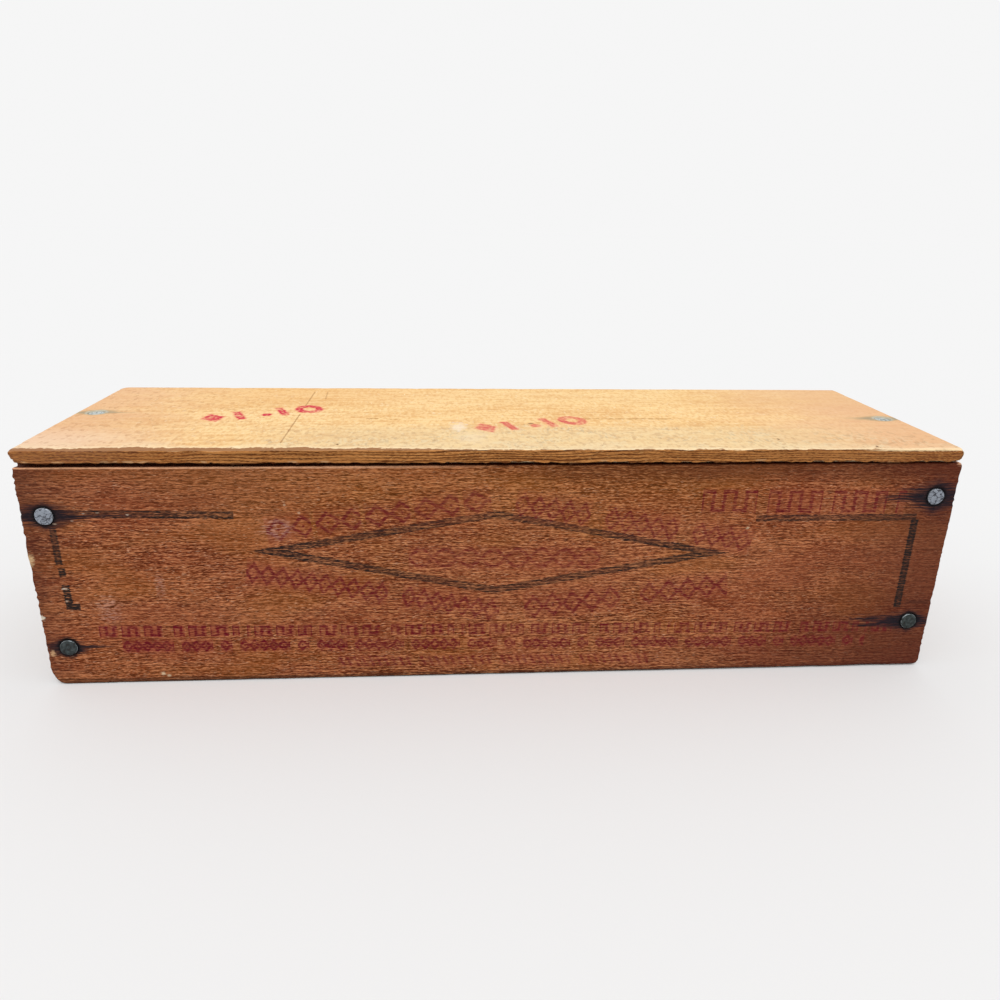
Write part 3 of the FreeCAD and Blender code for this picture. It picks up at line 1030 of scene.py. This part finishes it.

# Lid: one thin board, a little paler and yellower than the box, that lies over the whole of it on the end
# boards. Its top is painted much paler still: that is painted overhead light, laid into the top's colour.
# One nail at each end held it down, hammered in level; it lifts off with both. Two rough stamps in red ink,
# a dirty smear and a few scratches mark its top, and its sawn edges show the wood's layers.
# The faces' tones hold painted light: the top is far paler than the edges of the same board, as it looks
# under strong overhead light.
LID_TONES_WITH_PAINTED_TOP_LIGHT = (
    ((243, 204, 144), (248, 218, 166), (212, 156, 98), (250, 232, 196)),
    ((206, 160, 108), (220, 180, 132), (164, 118, 76), (230, 196, 152)),
    ((174, 109, 56), (216, 152, 88), (84, 40, 16), (228, 174, 114)))
LID_BARE = (240, 206, 152)
TOP = (0, 1)
STAMP_INK = (206, 52, 76)
STAMP_PLACES = (0.13, 0.33, 0.53, 0.67, 0.89)
# Start, end and share of the ink of each stamp
STAMPS = [((-80.5, -5.6), (-49.3, 7.8), 1.15), ((-8.2, -15.4), (23.2, -5.2), 0.85)]
# Smears, specks and holes: place, reach, tone and share
LID_SPOTS = [
    ((-11.3, -13.0), (2.0, 4.0), (246, 236, 220), 0.45),
    ((-8.0, -24.0), (4.0, 6.0), (238, 222, 194), 0.3),
    ((-40.4, -29.6), (0.4, 0.6), (96, 60, 34), 0.8),
    ((-34.0, -4.5), (1.6, 0.6), (176, 122, 66), 0.7),
    ((-29.0, -5.0), (1.4, 0.5), (180, 126, 70), 0.6),
    ((8.0, -9.5), (0.6, 0.7), (110, 60, 44), 0.7),
    ((69.5, -25.4), (0.45, 0.7), (84, 50, 32), 0.8),
    ((92.1, -31.9), (0.45, 0.7), (70, 44, 30), 0.8),
    ((38.0, -4.5), (12.0, 0.7), (176, 134, 84), 0.5),
]
LID_NOSES = (((2.1, 2.2), (0.5, 0.9)), ((1.4, 1.6), (1.4, 1.6)))
# Edge side, face side, place along the lid, width and depth of each chip
LID_CHIPS = [
    (-1, 1, -99, 3.0, 0.3),
    (-1, 1, -77, 2.2, 0.7),
    (-1, 1, -68, 2.6, 0.6),
    (-1, 1, 56, 2.4, 0.8),
    (-1, 1, 113.5, 2.2, 1.4),
    (-1, -1, 113.5, 2.2, 1.4),
    (-1, -1, -113.5, 2.2, 1.2),
    (-1, 1, -113.5, 0.9, 0.6),
]


def stamp(start, end, share):
    """Mark of one rough stamp and its blush: a lozenge, a bar, a dot, a bar and a ring in a slanting row."""

    def mark(wood, colour):
        s, t, length = straight_row(wood, TOP, start, end)
        lozenge_s, first_s, dot_s, second_s, ring_s = [s - place * length for place in STAMP_PLACES]
        v = abs(t)
        lozenge = abs(abs(lozenge_s) / 2.4 + v / 3.6 - 0.6) * 1.6
        first = abs(first_s).most(v - 3.4)
        dot = (dot_s * dot_s + (t + 2) * (t + 2)).root() - 0.3
        second = abs(second_s).most(v - 3.6)
        p, q = ring_s / 2.7, t / 3.4
        ring = abs((p * p + q * q).root() - 1) * 2.8
        away = lozenge.least(first).least(dot).least(second).least(ring)
        colour = coat(colour, [((240, 156, 122), away.rise(2.0, 0.6, 0.35) * v.rise(6, 4))])
        return inked(wood, colour, STAMP_INK, away, 1.0, share, 0.5)

    return mark


def lid_age_and_painted_light(wood, colour):
    """The lid's colouring and its painted light and shade, in the order of its layers.

    Orange ends, edges that are browner at the left and less streaked at both ends, a worn brown arris, and a
    painted highlight along the arris at the right end. On the top a rubbed pale front, grey-white rough
    patches before the middle, dark specks at the left and a golden back. The top's front margin has a ragged
    painted highlight along the arris, then brown where it is torn. The right end's rounded nose is darker,
    and the front edge's foot and underside are painted in shade where they meet the gap."""
    x, y, z = wood.axes
    side = attribute(wood.tree, "edge")
    top = 1 - side
    ends = (abs(x + 6) + wood.patch * 40).rise(78, 136)
    arris = (z + (wood.fibre - 0.5) * 0.6 + (wood.patch - 0.5) * 0.8).rise(61.95, 61.75)
    arris = arris * abs(y).rise(34.3, 34.7) * x.rise(98, 88)
    rough = cloud(wood.place, (15, 9, 9), 3, 0.6, 53)
    grey = rough.rise(0.47, 0.6) * (y + abs(x - 22) * 0.25).rise(2, -12)
    pits = wood.speck.rise(0.56, 0.66) * (x + wood.patch * 80).rise(20, -60)
    torn = cloud(wood.place, (7, 5, 5), 3, 0.6, 71) - 0.5
    rim = y - x.rise(10, -60, 1.9) + (wood.fibre - 0.5) * 1.4 + torn * 4.5
    # darker along the right end's rounded nose
    right_nose_darker = (x + wood.fibre * 0.8).rise(112.9, 113.8) * z.rise(61.9, 61.6)
    under = (z + wood.ripple * 0.5 + x * 0.0015).rise(59.25, 59.0) * y.rise(-31.0, -32.5)
    return coat(colour, [
        ((224, 176, 138), ends * top * 0.75),
        ((150, 98, 68), ends * side * (x.rise(60, -60, 0.35) + 0.2)),
        ((168, 112, 62), wood.fibre.rise(0.48, 0.58) * side * abs(x - 10).rise(25, 60, 0.6)),
        ((150, 90, 44), arris * z.rise(59.5, 60.5) * top * 0.85),
        # painted highlight along the front edge's top arris at the right end
        ((255, 226, 178), (z + wood.fibre * 0.4).rise(61.6, 61.85, 0.85) * side * x.rise(86, 96)),
        ((238, 214, 194), (x + wood.patch * 40).rise(-50, -90) * y.rise(-10, -26, 0.4) * top),
        ((240, 218, 182), (y + wood.patch * 34 + wood.ripple * 8).rise(-5, -18, 0.4) * top),
        ((228, 208, 172), grey * top * wood.fibre.rise(0.46, 0.6, 0.5)),
        ((162, 126, 90), grey * top * wood.fleck.rise(0.55, 0.67, 0.55)),
        ((224, 204, 164), abs(x - 15).rise(90, 50) * y.rise(-8, -20, 0.4) * top),
        ((192, 158, 120), wood.speck.rise(0.54, 0.64) * x.rise(-70, -40) * y.rise(-8, -20, 0.32) * top),
        ((166, 108, 66), pits * top * 0.2),
        # painted highlight: a ragged pale line along the top's front arris
        ((255, 232, 190), rim.rise(-33.0, -33.9) * wood.patch.rise(0.3, 0.5) * top * 0.5),
        ((150, 98, 60), rim.rise(-34.2, -34.8) * top * x.rise(98, 88, 0.9)),
        ((228, 176, 116), abs(x + 55).rise(50, 15) * y.rise(3, 22, 0.35) * top),
        ((232, 196, 140), x.rise(-30, 20) * y.rise(6, 20, 0.2) * top),
        ((84, 62, 44), right_nose_darker * 0.5),
        # painted shade on the front edge's foot and underside, in the gap under the lid
        ((66, 28, 14), under * 0.94),
    ])


def lid_scratch(start, end, share):
    """Mark of a thin dark scratch across the lid."""

    def mark(wood, colour):
        s, t, length = straight_row(wood, TOP, start, end)
        away = abs(t) + (wood.strand - 0.5) * 0.4
        return coat(colour, [((150, 98, 56), away.rise(0.3, 0.1, share) * s.within(0, length))])

    return mark


LID_STAINS = {"lid_left_nail": ((9.0, 8.0), 3.6), "lid_right_nail": ((13.0, 9.0), 3.6)}
DUST_TONES = ((206, 172, 128), (170, 152, 124), (192, 188, 170))
# Places along the front edge where a splinter has left pale wood, at the height of the edge's foot
SPLINTER_HEIGHT = 59.2
LID_SPLINTERS = [-110.2, -103.0, -92.6, -90.3, -87.4, -84.2, -70.6, -50.2, -42.9, 23.0, 61.5]
lid_marks = [
    lid_age_and_painted_light,
    *(spot(FRONT, (place, SPLINTER_HEIGHT), (1.0 + 0.3 * (n % 3), 0.3), (196, 150, 106), 0.85)
      for n, place in enumerate(LID_SPLINTERS)),
    *(spot(TOP, *values) for values in LID_SPOTS),
    *(stamp(*values) for values in STAMPS),
    lid_scratch((-54.5, 29.0), (-54.4, 10.0), 0.5),
    lid_scratch((-54.3, 1.0), (-54.1, -28.7), 0.55),
    lid_scratch((-50.6, 29.0), (-50.0, 19.0), 0.4),
    *(nail_stain(nail_places(node, 2)[0][0], *sizes, up=1, tones=DUST_TONES)
      for node, sizes in LID_STAINS.items()),
]
lid_wood = wood_material(
    "lid_wood", (0, (4.6, 2.8, 0.3), (14, 20), 0.48), LID_TONES_WITH_PAINTED_TOP_LIGHT, LID_BARE,
    strengths=(0.35, 0.25, 0.38, 0.4, 0.2, 0.95), marks=lid_marks, roughness=0.7, specular=0.02)
lid = sawn_board(
    "lid_board", "lid", "lid", grain=0, thick=2, steps=(0.7, 0.9, 0.4), wear=(0.16, 0.8),
    ends=(0.06, 0.1), seed=97, inside=-1, seats=head_seats(LID_STAINS, 2, 1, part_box("lid")[1][2]),
    corners=[((-1, -1), (0.9, 1.4)), ((1, -1), (1.4, 1.6)), ((-1, 1), (2.4, 2.0)), ((1, 1), (1.5, 1.2))],
    pulls=((0.0, 0.2), (0.1, 0.0), (0, 0), (0, 0)), nose=LID_NOSES, chips=LID_CHIPS, fringe=0.65)
lid.data.materials.append(lid_wood)
rubbed_steel = steel_material("rubbed_nail_steel", (204, 210, 206), (160, 166, 160))
for end, tarnish, seed in (("left", 0.0, 161), ("right", 0.1, 171)):
    driven_nails("nail_lid_" + end, "lid", "lid_" + end + "_nail", 2, 1, rubbed_steel, (tarnish,), seed)

# Studio: a pale round floor, a white surround and one large soft lamp overhead, to the front.
# The surround looks as bright as the floor does, so that they meet without a line; the floor throws less
# light up at the box than its own paleness would.
FLOOR_RADIUS = 6.0
FLOOR_SIDES = 96
FLOOR_SEEN = 0.8
FLOOR_BOUNCE = 0.35
SKY_LIGHT = 0.7
LAMP_LIGHT = 0.45
LAMP_ANGLE = math.radians(34)
LAMP_LEAN = math.radians(35)
floor_mesh = bpy.data.meshes.new("floor")
angle = np.linspace(0, 2 * np.pi, FLOOR_SIDES, endpoint=False)
rim = np.stack([np.cos(angle), np.sin(angle), 0 * angle], axis=1) * FLOOR_RADIUS
floor_mesh.from_pydata(rim.tolist(), [], [list(range(FLOOR_SIDES))])
floor = bpy.data.objects.new("floor", floor_mesh)
bpy.context.scene.collection.objects.link(floor)


def seen_directly(tree):
    """1 for rays that show the background: those of the camera, of reflections and through glass."""
    rays = tree.nodes.new("ShaderNodeLightPath")
    seen = Field(rays.outputs["Is Camera Ray"])
    return seen.most(Field(rays.outputs["Is Glossy Ray"])).most(Field(rays.outputs["Is Transmission Ray"]))


floor_material, floor_tree, floor_shader = new_material("floor_paper", 1.0, 0.0)
floor_colour = lay([FLOOR_BOUNCE] * 3 + [1], [FLOOR_SEEN] * 3 + [1], seen_directly(floor_tree))
floor_tree.links.new(floor_colour, floor_shader.inputs["Base Color"])
floor_mesh.materials.append(floor_material)

world = bpy.data.worlds.new("studio")
world.use_nodes = True
bpy.context.scene.world = world
sky = world.node_tree.nodes["Background"]
sky.inputs["Color"].default_value = (1, 1, 1, 1)
floor_light = FLOOR_SEEN * (SKY_LIGHT + LAMP_LIGHT)
strength = seen_directly(world.node_tree) * (floor_light - SKY_LIGHT) + SKY_LIGHT
world.node_tree.links.new(strength.socket, sky.inputs["Strength"])

lamp_data = bpy.data.lights.new("overhead_lamp", "SUN")
lamp_data.energy = LAMP_LIGHT * math.pi / math.cos(LAMP_LEAN)
lamp_data.angle = LAMP_ANGLE
lamp = bpy.data.objects.new("overhead_lamp", lamp_data)
bpy.context.scene.collection.objects.link(lamp)
lamp.rotation_euler = (LAMP_LEAN, 0, 0)

# Camera: the place and the turn that the edges of the box give in the photograph.
CAMERA_PLACE = np.array([-15.3, -212.1, 113.9]) * MM
CAMERA_YAW, CAMERA_PITCH, CAMERA_ROLL = (math.radians(a) for a in (4.385, 19.936, 1.139))
CAMERA_FOCAL = 782.94
FRAME_WIDTH = 1000
SENSOR = 36.0
ahead = np.array([
    math.sin(CAMERA_YAW) * math.cos(CAMERA_PITCH),
    math.cos(CAMERA_YAW) * math.cos(CAMERA_PITCH),
    -math.sin(CAMERA_PITCH),
])
level = np.array([math.cos(CAMERA_YAW), -math.sin(CAMERA_YAW), 0])
above = np.cross(level, ahead)
across = math.cos(CAMERA_ROLL) * level + math.sin(CAMERA_ROLL) * above
upward = -math.sin(CAMERA_ROLL) * level + math.cos(CAMERA_ROLL) * above
camera_data = bpy.data.cameras.new("camera")
camera_data.lens = CAMERA_FOCAL / FRAME_WIDTH * SENSOR
camera_data.sensor_width = SENSOR
camera_data.clip_start = 10 * MM
camera = bpy.data.objects.new("camera", camera_data)
bpy.context.scene.collection.objects.link(camera)
turn = Matrix(np.stack([across, upward, -ahead], axis=1).tolist()).to_4x4()
camera.matrix_world = Matrix.Translation(CAMERA_PLACE) @ turn
bpy.context.scene.camera = camera
bpy.context.scene.view_settings.view_transform = "Standard"
